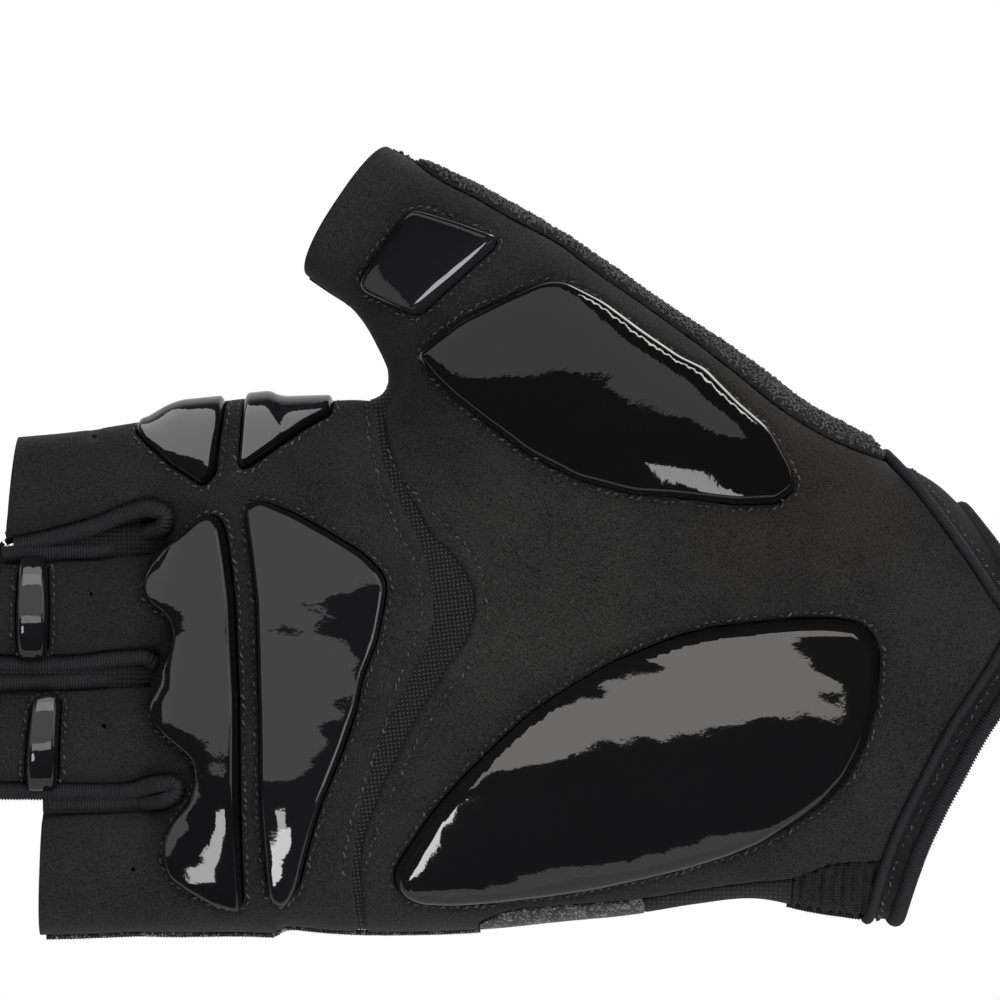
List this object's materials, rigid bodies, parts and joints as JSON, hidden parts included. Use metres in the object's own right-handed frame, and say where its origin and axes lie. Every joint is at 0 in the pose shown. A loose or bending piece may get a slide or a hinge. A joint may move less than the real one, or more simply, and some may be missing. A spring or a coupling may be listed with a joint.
{
  "type": "cycling glove",
  "caption": "Right-hand half-finger sport glove with a suede palm, glossy gel pads, a mesh crescent, ribbed finger slots, a towelling thumb and a slanted elastic cuff.",
  "frame": {"origin": "middle of the wrist opening, on the line where the wrist meets the heel of the palm", "axes": "+X points along the forearm and out of the wrist opening, the finger stalls point to -X, +Z is the thumb side and the palm faces -Y"},
  "size_m": [0.177, 0.0436, 0.1323],
  "materials": {
    "suede": "napped matt suede, near black",
    "knit": "plain fine knit, black",
    "mesh_knit": "fine mesh knit with small holes, charcoal",
    "gathered_knit": "gathered stretch knit, black",
    "terry": "towelling loops, dark grey",
    "ribbed": "ribbed stretch binding, black",
    "gel": "mirror-gloss moulded gel, black",
    "silver": "reflective coated fabric, silver grey"
  },
  "bodies": {
    "root": {"palm_heel": "suede", "palm_fingers": "suede", "palm_insert": "mesh_knit", "thumb_back": "terry", "back_panel": "knit", "reflective_patch": "silver", "wrist_gusset": "gathered_knit", "fourchette_index_middle": "knit", "fourchette_middle_ring": "knit", "fourchette_ring_little": "knit", "cuff_band": "ribbed", "cuff_piping": "ribbed", "slot_roll_index_middle": "ribbed", "slot_roll_middle_ring": "ribbed", "slot_roll_ring_little": "ribbed", "ulnar_piping": "silver", "thumb_pad": "gel", "thenar_pad": "gel", "hypothenar_pad": "gel", "index_pad_outer": "gel", "index_pad_inner": "gel", "knuckle_pad": "gel", "palm_bar_pad": "gel", "middle_finger_pad": "gel", "ring_finger_pad": "gel"}
  },
  "joints": []
}
